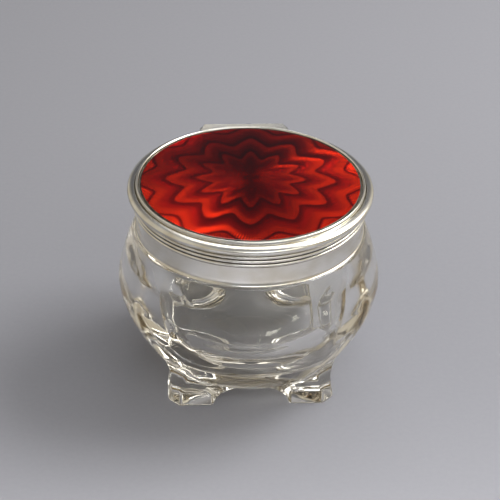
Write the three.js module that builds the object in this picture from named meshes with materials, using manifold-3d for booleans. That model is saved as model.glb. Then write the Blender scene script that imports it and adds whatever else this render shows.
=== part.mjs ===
// Dressing-table jar: clear glass, round and full-bellied, with four flutes that run down into
// bracket feet, a silver collar bedded on the neck, and a hinged silver lid with a red enamel top.
// Millimetres, +Z up, front towards -Y, hinge towards +Y, origin on the ground below the axis.

import * as THREE from 'three';
import { mergeVertices } from 'three/addons/utils/BufferGeometryUtils.js';
import Module from 'manifold-3d';

const wasm = await Module();
wasm.setup();

// Shared clearances and cutting allowance
const CLEARANCE = 0.3;
const RUNNING_GAP = 0.4;
const OVERRUN = 2;

// Glass body, from the ground up
const BASE_HEIGHT = 9.2;
const BELLY_RISE = 22.3;
const SHOULDER_RISE = 17;
const NECK_RISE = 10.4;
const BASE_RADIUS = 29.2;
const BELLY_RADIUS = 39.2;
const SHOULDER_LEDGE = 0.4;
const MOUTH_RADIUS = 27.5;
const NECK_WALL = 3.5;
const BASE_CHAMFER = 0.9;
const LOWER_CURVE_POWER = 1.67;
const UPPER_CURVE_POWER = 1.5;

// Flutes cut down the four diagonals, each tapering to a point above its foot
const FLUTE_HALF_ANGLE = THREE.MathUtils.degToRad(15.5);
const FLUTE_HOLLOW = 0.5;
const FLUTE_POINT_RISE = 5;
const FLUTE_FULL_RISE = 21;
const FLUTE_POINT_SHARE = 0.06;

// Hollow inside the glass
const FLOOR_THICKNESS = 5.8;
const CAVITY_RADIUS = 31;
const CAVITY_FLOOR_RADIUS = 21;
const CAVITY_CORNER = 5;
const CAVITY_NECK_DROP = 9;

// Square foot block with its arches
const FOOT_HALF_WIDTH = 24.9;
const FOOT_CANT = 3.3;
const FOOT_WAIST = 0.9;
const FOOT_WAIST_HEIGHT = 7;
const FOOT_FLARE_HEIGHT = 13;
const FOOT_FLARE = 4.2;
const FOOT_FLARE_CANT = 10;
const FLARE_CURVE_POWER = 1.4;
const FOOT_INNER_ROUND = 8;
const ARCH_HALF_SPAN = 11.2;
const ARCH_HEIGHT = 6;

// Silver collar round the neck
const PLASTER_WALL = 1;
const COLLAR_WALL = 0.6;
const COLLAR_LIP_FLARE = 0.7;
const COLLAR_LIP_HEIGHT = 2;
const REEDED_HEIGHT = 3.8;
const REED_STAND_OFF = 0.7;
const REED_BULGE = 0.4;
const REED_COUNT = 3;
const SHELF_THICKNESS = 0.4;
const BEZEL_WALL = 0.8;
const BEZEL_RISE = 1.2;
const BEZEL_STEP = 0.9;

// Lid
const LID_OVERHANG = 1.7;
const LID_RIM_HEIGHT = 2.6;
const ROLL_WIDTH = 2.1;
const ROLL_UNDERCUT = 1.4;
const ROLL_HEIGHT = 1.4;
const ROLL_SHOULDER = 0.3;
const LEDGE_WIDTH = 1;
const LEDGE_THICKNESS = 0.4;
const SEAT_DEPTH = 0.5;
const ENAMEL_THICKNESS = 0.6;
const ENAMEL_MARGIN = 1;
const PLATE_THICKNESS = 0.6;
const DOME_RISE = 1.3;
const BEAD_WIDTH = 1;
const BEAD_HEIGHT = 1;
const LINING_THICKNESS = 0.4;
const LINING_RISE = 0.8;

// Hinge at the back
const HINGE_STAND_OFF = 1.6;
const HINGE_WIDTH = 23.9;
const HINGE_PLATE_WIDTH = 27;
const KNUCKLE_RADIUS = 1.5;
const KNUCKLE_COUNT = 5;
const PIN_RADIUS = 0.7;
const LID_PLATE_THICKNESS = 0.8;
const COLLAR_PLATE_HEIGHT = 3;
const COLLAR_PLATE_TAPER = 1;

// Facets round each kind of curve
const RING_SEGMENTS = 52;
const LOBE_SEGMENTS = 9;
const FLUTE_SEGMENTS = 4;
const BODY_RINGS = 7;
const ARC_SEGMENTS = 4;
const FOOT_RINGS = 4;
const DOME_RINGS = 3;
const KNUCKLE_SEGMENTS = 16;
const ARCH_SEGMENTS = 6;

// Heights that follow from the stack of pieces
const BELLY_Z = BASE_HEIGHT + BELLY_RISE;
const SHOULDER_Z = BELLY_Z + SHOULDER_RISE;
const NECK_TOP_Z = SHOULDER_Z + NECK_RISE;
const BAND_TOP_Z = NECK_TOP_Z - REEDED_HEIGHT;
const SHELF_TOP_Z = NECK_TOP_Z + SHELF_THICKNESS;
const LID_Z = SHELF_TOP_Z + CLEARANCE;
const RIM_TOP_Z = LID_Z + LID_RIM_HEIGHT;
const PLATE_Z = RIM_TOP_Z - SEAT_DEPTH;
const ENAMEL_Z = PLATE_Z + PLATE_THICKNESS;
const ENAMEL_TOP_Z = ENAMEL_Z + ENAMEL_THICKNESS;
const LEDGE_Z = PLATE_Z - LEDGE_THICKNESS;
const CAVITY_FLOOR_Z = BASE_HEIGHT + FLOOR_THICKNESS;

// Radii that follow from one piece fitting the next, from the mouth outwards
const NECK_RADIUS = MOUTH_RADIUS + NECK_WALL;
const PLASTER_INNER_RADIUS = NECK_RADIUS + CLEARANCE;
const PLASTER_OUTER_RADIUS = PLASTER_INNER_RADIUS + PLASTER_WALL;
const COLLAR_INNER_RADIUS = PLASTER_OUTER_RADIUS + CLEARANCE;
const COLLAR_RADIUS = COLLAR_INNER_RADIUS + COLLAR_WALL;
const REED_CORE_RADIUS = COLLAR_RADIUS + REED_STAND_OFF;
const REED_RADIUS = REED_CORE_RADIUS + REED_BULGE;
const SHOULDER_RADIUS = COLLAR_RADIUS + COLLAR_LIP_FLARE + SHOULDER_LEDGE;
const BEZEL_INNER_RADIUS = MOUTH_RADIUS + BEZEL_STEP;
const BEZEL_RADIUS = BEZEL_INNER_RADIUS + BEZEL_WALL;
const RIM_INNER_RADIUS = BEZEL_RADIUS + RUNNING_GAP;
const LID_RADIUS = REED_RADIUS + LID_OVERHANG;
const RIM_TOP_RADIUS = LID_RADIUS - ROLL_WIDTH;
const SEAT_RADIUS = RIM_TOP_RADIUS - ROLL_SHOULDER - BEAD_WIDTH;
const ENAMEL_RADIUS = SEAT_RADIUS - CLEARANCE;

// Hinge axis and the planes that the knuckles are soldered to
const HINGE_Y = LID_RADIUS + HINGE_STAND_OFF;
const HINGE_Z = SHELF_TOP_Z;
const KNUCKLE_FACE_Y = HINGE_Y - KNUCKLE_RADIUS;
const BORE_RADIUS = PIN_RADIUS + CLEARANCE;
const RELIEF_RADIUS = KNUCKLE_RADIUS + RUNNING_GAP;
const KNUCKLE_LENGTH = (HINGE_WIDTH - (KNUCKLE_COUNT - 1) * CLEARANCE) / KNUCKLE_COUNT;
const KNUCKLE_PITCH = KNUCKLE_LENGTH + CLEARANCE;

const GLASS = new THREE.MeshStandardMaterial({ color: '#e4e6e0', roughness: 0.04, metalness: 0 });
const SILVER = new THREE.MeshStandardMaterial({ color: '#d6d3cc', roughness: 0.22, metalness: 1 });
const GILT = new THREE.MeshStandardMaterial({ color: '#d9b35c', roughness: 0.3, metalness: 1 });
const ENAMEL = new THREE.MeshStandardMaterial({ color: '#a5170f', roughness: 0.08, metalness: 0 });
const PLASTER = new THREE.MeshStandardMaterial({ color: '#e9e4d8', roughness: 0.9, metalness: 0 });

// A closed body of revolution. A ring's outline runs up its outer side and down its inner side.
function revolve(outline, segments = RING_SEGMENTS) {
  const points = outline.map(([radius, z]) => new THREE.Vector2(radius, z));
  const onAxis = points[0].x === 0 && points.at(-1).x === 0;
  if (!onAxis) {
    points.push(points[0].clone());
  }
  const geometry = new THREE.LatheGeometry(points, segments);
  geometry.rotateX(Math.PI / 2);
  return geometry;
}

// Points of an elliptic arc in the radius-height plane, both ends included.
function arc(centre, radii, startAngle, endAngle, segments = ARC_SEGMENTS) {
  const points = [];
  for (let i = 0; i <= segments; i += 1) {
    const angle = THREE.MathUtils.lerp(startAngle, endAngle, i / segments);
    points.push([centre[0] + radii[0] * Math.cos(angle), centre[1] + radii[1] * Math.sin(angle)]);
  }
  return points;
}

// Joins closed rings of points round the axis into one solid, with a flat cap at each end.
function loft(rings) {
  const count = rings[0].length;
  const positions = rings.flat(2);
  const indices = [];
  for (let level = 0; level < rings.length - 1; level += 1) {
    for (let i = 0; i < count; i += 1) {
      const next = (i + 1) % count;
      const low = level * count;
      const high = low + count;
      indices.push(low + i, low + next, high + next);
      indices.push(low + i, high + next, high + i);
    }
  }
  const last = (rings.length - 1) * count;
  const bottom = positions.length / 3;
  positions.push(0, 0, rings[0][0][2], 0, 0, rings.at(-1)[0][2]);
  for (let i = 0; i < count; i += 1) {
    const next = (i + 1) % count;
    indices.push(bottom, next, i);
    indices.push(bottom + 1, last + i, last + next);
  }
  const geometry = new THREE.BufferGeometry();
  geometry.setAttribute('position', new THREE.Float32BufferAttribute(positions, 3));
  geometry.setIndex(indices);
  return geometry;
}

// Extrudes an outline drawn in the Y-Z plane along X, centred on the given place.
function extrudeAlongX(shape, length, centreX = 0) {
  const geometry = new THREE.ExtrudeGeometry(shape, {
    depth: length, bevelEnabled: false, curveSegments: KNUCKLE_SEGMENTS,
  });
  geometry.translate(0, 0, centreX - length / 2);
  const alongY = new THREE.Vector3(0, 1, 0);
  const alongZ = new THREE.Vector3(0, 0, 1);
  const alongX = new THREE.Vector3(1, 0, 0);
  return geometry.applyMatrix4(new THREE.Matrix4().makeBasis(alongY, alongZ, alongX));
}

function shapeOf(outline) {
  return new THREE.Shape(outline.map(([a, b]) => new THREE.Vector2(a, b)));
}

// Turns a closed geometry into a solid for cutting and joining, and back again.
function toSolid(geometry) {
  const bare = geometry.clone();
  bare.deleteAttribute('normal');
  bare.deleteAttribute('uv');
  const merged = mergeVertices(bare);
  return new wasm.Manifold(new wasm.Mesh({
    numProp: 3,
    vertProperties: new Float32Array(merged.attributes.position.array),
    triVerts: new Uint32Array(merged.index.array),
  }));
}

function toGeometry(solid) {
  const mesh = solid.getMesh();
  const geometry = new THREE.BufferGeometry();
  geometry.setAttribute('position', new THREE.BufferAttribute(mesh.vertProperties, 3));
  geometry.setIndex(new THREE.BufferAttribute(mesh.triVerts, 1));
  geometry.computeVertexNormals();
  return geometry;
}

function piece(name, geometry, material) {
  const mesh = new THREE.Mesh(geometry, material);
  mesh.name = name;
  return mesh;
}

// Radius of the full belly at a height between the base and the shoulder.
function bellyRadiusAt(z) {
  if (z < BELLY_Z) {
    const fall = ((BELLY_Z - z) / BELLY_RISE) ** LOWER_CURVE_POWER;
    return BELLY_RADIUS - (BELLY_RADIUS - BASE_RADIUS) * fall;
  }
  const fall = ((z - BELLY_Z) / SHOULDER_RISE) ** UPPER_CURVE_POWER;
  return BELLY_RADIUS - (BELLY_RADIUS - SHOULDER_RADIUS) * fall;
}

// Half the width of a flute at a height, from its point above the foot to its full width.
function fluteHalfAngleAt(z) {
  const rise = (z - BASE_HEIGHT - FLUTE_POINT_RISE) / (FLUTE_FULL_RISE - FLUTE_POINT_RISE);
  return FLUTE_HALF_ANGLE * Math.sqrt(THREE.MathUtils.clamp(rise, FLUTE_POINT_SHARE, 1));
}

// The plan of the body: four round lobes, and between them four hollow-cut flutes.
// Cut depth runs from 0, a plain circle, to 1, the full flute.
function bodyRing(radius, z, cutDepthShare) {
  const ring = [];
  const halfAngle = fluteHalfAngleAt(z);
  const deepest = FLUTE_HOLLOW * (halfAngle / FLUTE_HALF_ANGLE);
  for (let quarter = 0; quarter < 4; quarter += 1) {
    const diagonal = Math.PI * (quarter / 2 + 1 / 4);
    for (let i = 0; i < FLUTE_SEGMENTS; i += 1) {
      const across = halfAngle * ((2 * i) / FLUTE_SEGMENTS - 1);
      const flat = radius * Math.cos(halfAngle) / Math.cos(across);
      const hollow = deepest * (1 - (across / halfAngle) ** 2);
      const cut = THREE.MathUtils.lerp(radius, flat - hollow, cutDepthShare);
      ring.push([cut * Math.cos(diagonal + across), cut * Math.sin(diagonal + across), z]);
    }
    const lobeAngle = Math.PI / 2 - 2 * halfAngle;
    for (let i = 0; i < LOBE_SEGMENTS; i += 1) {
      const angle = diagonal + halfAngle + (lobeAngle * i) / LOBE_SEGMENTS;
      ring.push([radius * Math.cos(angle), radius * Math.sin(angle), z]);
    }
  }
  return ring;
}

function bellySolid() {
  const rings = [bodyRing(BASE_RADIUS - BASE_CHAMFER, BASE_HEIGHT - BASE_CHAMFER, 1)];
  for (let i = 0; i <= BODY_RINGS; i += 1) {
    const z = THREE.MathUtils.lerp(BASE_HEIGHT, BELLY_Z, i / BODY_RINGS);
    rings.push(bodyRing(bellyRadiusAt(z), z, 1));
  }
  for (let i = 1; i <= BODY_RINGS; i += 1) {
    const rise = i / BODY_RINGS;
    const z = THREE.MathUtils.lerp(BELLY_Z, SHOULDER_Z, rise);
    const runOut = 1 - THREE.MathUtils.smoothstep(rise, 1 / 2, 1);
    rings.push(bodyRing(bellyRadiusAt(z), z, runOut));
  }
  rings.push(bodyRing(NECK_RADIUS, SHOULDER_Z, 0));
  rings.push(bodyRing(NECK_RADIUS, NECK_TOP_Z, 0));
  return toSolid(loft(rings));
}

// Inside of the jar: straight through the neck, swelling behind the belly, round into the floor.
function cavitySolid() {
  const neckEndZ = NECK_TOP_Z - CAVITY_NECK_DROP;
  const top = new THREE.Vector2(MOUTH_RADIUS, neckEndZ);
  const wide = new THREE.Vector2(CAVITY_RADIUS, BELLY_Z);
  const low = new THREE.Vector2(CAVITY_FLOOR_RADIUS + CAVITY_CORNER, CAVITY_FLOOR_Z + CAVITY_CORNER);
  const upper = new THREE.QuadraticBezierCurve(wide, new THREE.Vector2(wide.x, (wide.y + top.y) / 2), top);
  const lower = new THREE.QuadraticBezierCurve(low, new THREE.Vector2(wide.x, (wide.y + low.y) / 2), wide);
  const corner = arc([CAVITY_FLOOR_RADIUS, low.y], [CAVITY_CORNER, CAVITY_CORNER], -Math.PI / 2, 0);
  const wall = [...lower.getPoints(ARC_SEGMENTS).slice(1), ...upper.getPoints(ARC_SEGMENTS).slice(1)];
  return toSolid(revolve([
    [0, CAVITY_FLOOR_Z],
    ...corner,
    ...wall.map((point) => [point.x, point.y]),
    [MOUTH_RADIUS, NECK_TOP_Z + OVERRUN],
    [0, NECK_TOP_Z + OVERRUN],
  ]));
}

// Square with canted corners.
function footRing(halfWidth, cant, z) {
  const inner = halfWidth - cant;
  return [
    [halfWidth, -inner, z], [halfWidth, inner, z], [inner, halfWidth, z], [-inner, halfWidth, z],
    [-halfWidth, inner, z], [-halfWidth, -inner, z], [-inner, -halfWidth, z], [inner, -halfWidth, z],
  ];
}

// The block draws in from the ground to a waist, then flares and rounds off into the belly.
function footBlockSolid() {
  const rings = [];
  for (let i = 0; i < FOOT_RINGS; i += 1) {
    const drawIn = FOOT_WAIST * Math.sin((Math.PI / 2) * (i / FOOT_RINGS));
    rings.push(footRing(FOOT_HALF_WIDTH - drawIn, FOOT_CANT, FOOT_WAIST_HEIGHT * (i / FOOT_RINGS)));
  }
  for (let i = 0; i <= FOOT_RINGS; i += 1) {
    const rise = i / FOOT_RINGS;
    const halfWidth = FOOT_HALF_WIDTH - FOOT_WAIST + FOOT_FLARE * rise ** FLARE_CURVE_POWER;
    const cant = THREE.MathUtils.lerp(FOOT_CANT, FOOT_FLARE_CANT, rise);
    rings.push(footRing(halfWidth, cant, FOOT_WAIST_HEIGHT + FOOT_FLARE_HEIGHT * rise));
  }
  return toSolid(loft(rings));
}

// Plan of the hollow under the jar: two crossing tunnels, with the feet rounded between them.
function tunnelRing(halfSpan, z) {
  const reach = BELLY_RADIUS + OVERRUN;
  const centre = halfSpan + FOOT_INNER_ROUND;
  const round = arc([centre, centre], [FOOT_INNER_ROUND, FOOT_INNER_ROUND], -Math.PI / 2, -Math.PI);
  const quarter = [[reach, halfSpan], ...round, [halfSpan, reach]];
  const ring = [];
  for (let turn = 0; turn < 4; turn += 1) {
    const c = Math.round(Math.cos((turn * Math.PI) / 2));
    const s = Math.round(Math.sin((turn * Math.PI) / 2));
    ring.push(...quarter.map(([x, y]) => [x * c - y * s, x * s + y * c, z]));
  }
  return ring;
}

// The tunnels' round arches rise from the ground and close at the top.
function archesSolid() {
  const rings = [tunnelRing(ARCH_HALF_SPAN, -OVERRUN)];
  for (let i = 0; i < ARCH_SEGMENTS; i += 1) {
    const angle = (Math.PI / 2) * (i / ARCH_SEGMENTS);
    rings.push(tunnelRing(ARCH_HALF_SPAN * Math.cos(angle), ARCH_HEIGHT * Math.sin(angle)));
  }
  return toSolid(loft(rings));
}

function glassJar() {
  const solid = bellySolid()
    .add(footBlockSolid())
    .subtract(archesSolid())
    .subtract(cavitySolid());
  return piece('glass_jar', toGeometry(solid), GLASS);
}

function neckPlaster() {
  return piece('neck_plaster', revolve([
    [PLASTER_INNER_RADIUS, SHOULDER_Z],
    [PLASTER_OUTER_RADIUS, SHOULDER_Z],
    [PLASTER_OUTER_RADIUS, NECK_TOP_Z - CLEARANCE],
    [PLASTER_INNER_RADIUS, NECK_TOP_Z - CLEARANCE],
  ]), PLASTER);
}

// Plain band with a small flare at its lower lip and at the reeding.
function collarBand() {
  const lip = arc([COLLAR_RADIUS + COLLAR_LIP_FLARE, SHOULDER_Z + COLLAR_LIP_HEIGHT],
    [COLLAR_LIP_FLARE, COLLAR_LIP_HEIGHT], -Math.PI / 2, -Math.PI);
  const crown = arc([COLLAR_RADIUS + REED_STAND_OFF, BAND_TOP_Z - REED_STAND_OFF],
    [REED_STAND_OFF, REED_STAND_OFF], Math.PI, Math.PI / 2);
  return piece('collar_band', revolve([
    [COLLAR_INNER_RADIUS, SHOULDER_Z],
    ...lip,
    ...crown,
    [COLLAR_INNER_RADIUS, BAND_TOP_Z],
  ]), SILVER);
}

// Three fine half-round reeds drawn side by side on one strip.
function reededMoulding() {
  const pitch = REEDED_HEIGHT / REED_COUNT;
  const outline = [[COLLAR_INNER_RADIUS, BAND_TOP_Z]];
  for (let reed = 0; reed < REED_COUNT; reed += 1) {
    const centre = [REED_CORE_RADIUS, BAND_TOP_Z + pitch * (reed + 1 / 2)];
    const bulge = arc(centre, [REED_BULGE, pitch / 2], -Math.PI / 2, Math.PI / 2);
    outline.push(...(reed === 0 ? bulge : bulge.slice(1)));
  }
  outline.push([COLLAR_INNER_RADIUS, NECK_TOP_Z]);
  return piece('reeded_moulding', revolve(outline), SILVER);
}

// Flat shelf over the glass rim, with an upright bezel that the lid closes over.
function mouthBezel() {
  return piece('mouth_bezel', revolve([
    [MOUTH_RADIUS, NECK_TOP_Z],
    [REED_CORE_RADIUS, NECK_TOP_Z],
    [REED_CORE_RADIUS, SHELF_TOP_Z],
    [BEZEL_RADIUS, SHELF_TOP_Z],
    [BEZEL_RADIUS, SHELF_TOP_Z + BEZEL_RISE],
    [BEZEL_INNER_RADIUS, SHELF_TOP_Z + BEZEL_RISE],
    [BEZEL_INNER_RADIUS, SHELF_TOP_Z],
    [MOUTH_RADIUS, SHELF_TOP_Z],
  ]), SILVER);
}

// Rolled edge of the lid, with a stepped seat inside and a flat cut for the hinge plate behind.
function lidRim() {
  const rollZ = LID_Z + ROLL_HEIGHT;
  const under = arc([LID_RADIUS - ROLL_UNDERCUT, rollZ], [ROLL_UNDERCUT, ROLL_HEIGHT], -Math.PI / 2, 0);
  const over = arc([RIM_TOP_RADIUS, rollZ], [ROLL_WIDTH, LID_RIM_HEIGHT - ROLL_HEIGHT], 0, Math.PI / 2);
  const ring = toSolid(revolve([
    [RIM_INNER_RADIUS, LID_Z],
    ...under,
    ...over.slice(1),
    [SEAT_RADIUS, RIM_TOP_Z],
    [SEAT_RADIUS, PLATE_Z],
    [RIM_INNER_RADIUS - LEDGE_WIDTH, PLATE_Z],
    [RIM_INNER_RADIUS - LEDGE_WIDTH, LEDGE_Z],
    [RIM_INNER_RADIUS, LEDGE_Z],
  ]));
  const notch = shapeOf([
    [RIM_TOP_RADIUS, HINGE_Z + KNUCKLE_RADIUS - LID_PLATE_THICKNESS],
    [HINGE_Y, HINGE_Z + KNUCKLE_RADIUS - LID_PLATE_THICKNESS],
    [HINGE_Y, RIM_TOP_Z + OVERRUN],
    [RIM_TOP_RADIUS, RIM_TOP_Z + OVERRUN],
  ]);
  const cut = toSolid(extrudeAlongX(notch, HINGE_PLATE_WIDTH + 2 * CLEARANCE));
  return piece('lid_rim', toGeometry(ring.subtract(cut)), SILVER);
}

// Half-round bead that frames the enamel.
function enamelBezel() {
  const half = BEAD_WIDTH / 2;
  const outline = arc([SEAT_RADIUS + half, RIM_TOP_Z], [half, BEAD_HEIGHT], 0, Math.PI, 2 * ARC_SEGMENTS);
  return piece('enamel_bezel', revolve(outline), SILVER);
}

// Points of a domed face from the axis out to its edge.
function dome(z, edgeRadius, rise) {
  const points = [];
  for (let i = 0; i <= DOME_RINGS; i += 1) {
    const radius = (edgeRadius * i) / DOME_RINGS;
    points.push([radius, z + rise * (1 - (i / DOME_RINGS) ** 2)]);
  }
  return points;
}

// Silver plate that carries the engine turning, domed, with a flat margin.
function guillochePlate() {
  const edge = ENAMEL_RADIUS - ENAMEL_MARGIN;
  return piece('guilloche_plate', revolve([
    ...dome(PLATE_Z, edge, DOME_RISE),
    [ENAMEL_RADIUS, PLATE_Z],
    [ENAMEL_RADIUS, ENAMEL_Z],
    ...dome(ENAMEL_Z, edge, DOME_RISE).reverse(),
  ]), SILVER);
}

// Translucent enamel over the plate, seated on the plate's flat margin.
function enamelDisc() {
  const edge = ENAMEL_RADIUS - ENAMEL_MARGIN;
  return piece('enamel_disc', revolve([
    ...dome(ENAMEL_Z + CLEARANCE, edge, DOME_RISE),
    [edge, ENAMEL_Z],
    [ENAMEL_RADIUS, ENAMEL_Z],
    [ENAMEL_RADIUS, ENAMEL_TOP_Z],
    ...dome(ENAMEL_TOP_Z, edge, DOME_RISE).reverse(),
  ]), ENAMEL);
}

// Gilt sheet that closes the underside of the lid, held below the rim's ledge.
function lidLining() {
  const flange = RIM_INNER_RADIUS - CLEARANCE;
  const edge = RIM_INNER_RADIUS - LEDGE_WIDTH;
  return piece('lid_lining', revolve([
    ...dome(LEDGE_Z - LINING_THICKNESS, edge, LINING_RISE),
    [flange, LEDGE_Z - LINING_THICKNESS],
    [flange, LEDGE_Z],
    ...dome(LEDGE_Z, edge, LINING_RISE).reverse(),
  ]), GILT);
}

function knuckleCentre(index) {
  return (index - (KNUCKLE_COUNT - 1) / 2) * KNUCKLE_PITCH;
}

// Tube with a bore for the pin, squared on the side that is soldered to its plate.
function knuckle(name, index, squareSide) {
  const r = KNUCKLE_RADIUS;
  const outline = squareSide === 'below'
    ? arc([0, 0], [r, r], -Math.PI / 2, Math.PI, KNUCKLE_SEGMENTS)
    : arc([0, 0], [r, r], -Math.PI, Math.PI / 2, KNUCKLE_SEGMENTS);
  outline.push(squareSide === 'below' ? [-r, -r] : [-r, r]);
  const shape = shapeOf(outline);
  const bore = new THREE.Path();
  bore.absarc(0, 0, BORE_RADIUS, 0, 2 * Math.PI);
  shape.holes.push(bore);
  const mesh = piece(name, extrudeAlongX(shape, KNUCKLE_LENGTH, knuckleCentre(index)), SILVER);
  mesh.position.set(0, HINGE_Y, HINGE_Z);
  return mesh;
}

// Round hollows that let the other leaf's knuckles turn.
function cutReliefs(solid, indices) {
  const circle = new THREE.Shape();
  circle.absarc(HINGE_Y, HINGE_Z, RELIEF_RADIUS, 0, 2 * Math.PI);
  let cut = solid;
  for (const index of indices) {
    const length = KNUCKLE_LENGTH + 2 * CLEARANCE;
    cut = cut.subtract(toSolid(extrudeAlongX(circle, length, knuckleCentre(index))));
  }
  return cut;
}

function hingePin() {
  const shape = new THREE.Shape();
  shape.absarc(0, 0, PIN_RADIUS, 0, 2 * Math.PI);
  const mesh = piece('hinge_pin', extrudeAlongX(shape, HINGE_WIDTH), SILVER);
  mesh.position.set(0, HINGE_Y, HINGE_Z);
  return mesh;
}

// Block behind the reeding that carries the three outer knuckles, tapered underneath.
function collarHingePlate(movingIndices) {
  const topZ = HINGE_Z - CLEARANCE;
  const bottomZ = topZ - COLLAR_PLATE_HEIGHT;
  const profile = shapeOf([
    [COLLAR_RADIUS - COLLAR_PLATE_HEIGHT, bottomZ],
    [REED_RADIUS + CLEARANCE, bottomZ],
    [KNUCKLE_FACE_Y, bottomZ + COLLAR_PLATE_TAPER],
    [KNUCKLE_FACE_Y, topZ],
    [COLLAR_RADIUS - COLLAR_PLATE_HEIGHT, topZ],
  ]);
  const block = toSolid(extrudeAlongX(profile, HINGE_WIDTH));
  const radius = REED_RADIUS + CLEARANCE;
  const fit = toSolid(revolve([
    [0, bottomZ - OVERRUN],
    [radius, bottomZ - OVERRUN],
    [radius, topZ + OVERRUN],
    [0, topZ + OVERRUN],
  ]));
  const plate = cutReliefs(block.subtract(fit), movingIndices);
  return piece('collar_hinge_plate', toGeometry(plate), SILVER);
}

// Flat plate let into the back of the lid rim, narrowing towards the knuckles.
function lidHingePlate(fixedIndices) {
  const plan = shapeOf([
    [-HINGE_PLATE_WIDTH / 2, RIM_TOP_RADIUS],
    [HINGE_PLATE_WIDTH / 2, RIM_TOP_RADIUS],
    [HINGE_WIDTH / 2, KNUCKLE_FACE_Y],
    [-HINGE_WIDTH / 2, KNUCKLE_FACE_Y],
  ]);
  const geometry = new THREE.ExtrudeGeometry(plan, { depth: LID_PLATE_THICKNESS, bevelEnabled: false });
  geometry.translate(0, 0, HINGE_Z + KNUCKLE_RADIUS - LID_PLATE_THICKNESS);
  const plate = cutReliefs(toSolid(geometry), fixedIndices);
  return piece('lid_hinge_plate', toGeometry(plate), SILVER);
}

function jarBody(fixedIndices, movingIndices) {
  const group = new THREE.Group();
  group.add(glassJar(), neckPlaster(), collarBand(), reededMoulding(), mouthBezel());
  group.add(collarHingePlate(movingIndices), hingePin());
  const places = ['left', 'centre', 'right'];
  fixedIndices.forEach((index, i) => group.add(knuckle(`collar_knuckle_${places[i]}`, index, 'below')));
  return group;
}

function lid(fixedIndices, movingIndices) {
  const group = new THREE.Group();
  group.add(lidRim(), enamelBezel(), guillochePlate(), enamelDisc(), lidLining());
  group.add(lidHingePlate(fixedIndices));
  const places = ['left', 'right'];
  movingIndices.forEach((index, i) => group.add(knuckle(`lid_knuckle_${places[i]}`, index, 'above')));
  return group;
}

// Knuckles alternate along the pin, with the collar's at both ends.
const knuckleIndices = Array.from({ length: KNUCKLE_COUNT }, (_, index) => index);
const collarKnuckles = knuckleIndices.filter((index) => index % 2 === 0);
const lidKnuckles = knuckleIndices.filter((index) => index % 2 === 1);

const jar = new THREE.Group();
jar.add(jarBody(collarKnuckles, lidKnuckles), lid(collarKnuckles, lidKnuckles));

export default jar;
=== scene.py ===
"""Dressing-table jar in clear fluted glass, with a silver collar and a red enamelled silver lid.

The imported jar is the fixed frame. Each piece here is built smooth around it, in metres, and rides
on the same body. Up is +Z, the front of the lid is towards -Y and the hinge towards +Y.
"""

import functools
import math
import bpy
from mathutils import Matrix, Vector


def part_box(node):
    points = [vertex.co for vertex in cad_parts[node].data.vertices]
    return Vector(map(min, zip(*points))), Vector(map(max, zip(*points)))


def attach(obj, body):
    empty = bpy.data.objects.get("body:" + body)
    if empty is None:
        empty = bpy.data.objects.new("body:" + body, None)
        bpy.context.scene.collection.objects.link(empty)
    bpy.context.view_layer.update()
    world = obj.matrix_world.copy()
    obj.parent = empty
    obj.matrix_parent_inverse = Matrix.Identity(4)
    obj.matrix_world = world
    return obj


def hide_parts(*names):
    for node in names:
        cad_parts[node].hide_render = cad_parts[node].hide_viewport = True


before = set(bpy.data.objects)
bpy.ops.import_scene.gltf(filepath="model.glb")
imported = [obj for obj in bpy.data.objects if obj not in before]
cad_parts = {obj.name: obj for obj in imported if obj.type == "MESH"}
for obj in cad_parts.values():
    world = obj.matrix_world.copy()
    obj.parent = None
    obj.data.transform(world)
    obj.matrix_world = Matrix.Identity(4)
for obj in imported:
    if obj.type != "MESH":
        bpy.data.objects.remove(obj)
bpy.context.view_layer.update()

from types import SimpleNamespace

import bmesh
import bpy
import numpy as np
from bpy.props import FloatProperty, IntProperty, PointerProperty, StringProperty
from mathutils import Matrix, Vector

bl_info = {
    "name": "Enamelled Silver and Glass Jar",
    "version": (1, 0, 0),
    "blender": (4, 5, 0),
    "location": "3D View > Sidebar > Jar",
    "description": "Builds a footed glass jar with a silver collar and an enamelled silver lid",
    "category": "Object",
}

MM = 0.001
QUARTER = math.pi / 2
TINY = 1e-6


def low(node):
    """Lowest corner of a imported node."""
    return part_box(node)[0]


def high(node):
    """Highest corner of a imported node."""
    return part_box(node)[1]


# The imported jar's own heights and radii, so that the smooth pieces follow it
SHOULDER_Z = low("collar_band").z
BAND_TOP_Z = low("reeded_moulding").z
NECK_TOP_Z = high("glass_jar").z
SHELF_TOP_Z = low("mouth_bezel").z + 0.4 * MM  # the flat ring over the glass is 0.4 mm thick
BEZEL_TOP_Z = high("mouth_bezel").z
LID_Z = low("lid_rim").z
RIM_TOP_Z = low("enamel_bezel").z
PLATE_Z = low("guilloche_plate").z
ENAMEL_Z = low("enamel_disc").z
DOME_TOP_Z = high("enamel_disc").z
COLLAR_RADIUS = -low("mouth_bezel").x
REED_RADIUS = high("reeded_moulding").x
LID_RADIUS = high("lid_rim").x
BEAD_RADIUS = high("enamel_bezel").x
ENAMEL_RADIUS = high("enamel_disc").x
PIN_Y = (low("hinge_pin").y + high("hinge_pin").y) / 2
PIN_Z = (low("hinge_pin").z + high("hinge_pin").z) / 2

# How finely round pieces are divided; the lid is seen closest, so its pieces have more segments
RING_SEGMENTS = 240
LID_SEGMENTS = 360

# Roundings of the glass in millimetres, where its surfaces run into each other
RIM_ROUND = 0.8
UNDERSIDE_ROUND = 1.6
FLARE_ROUND = 1.0
SOLE_ROUND = 0.5
FLOOR_ROUND = 6.0

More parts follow.
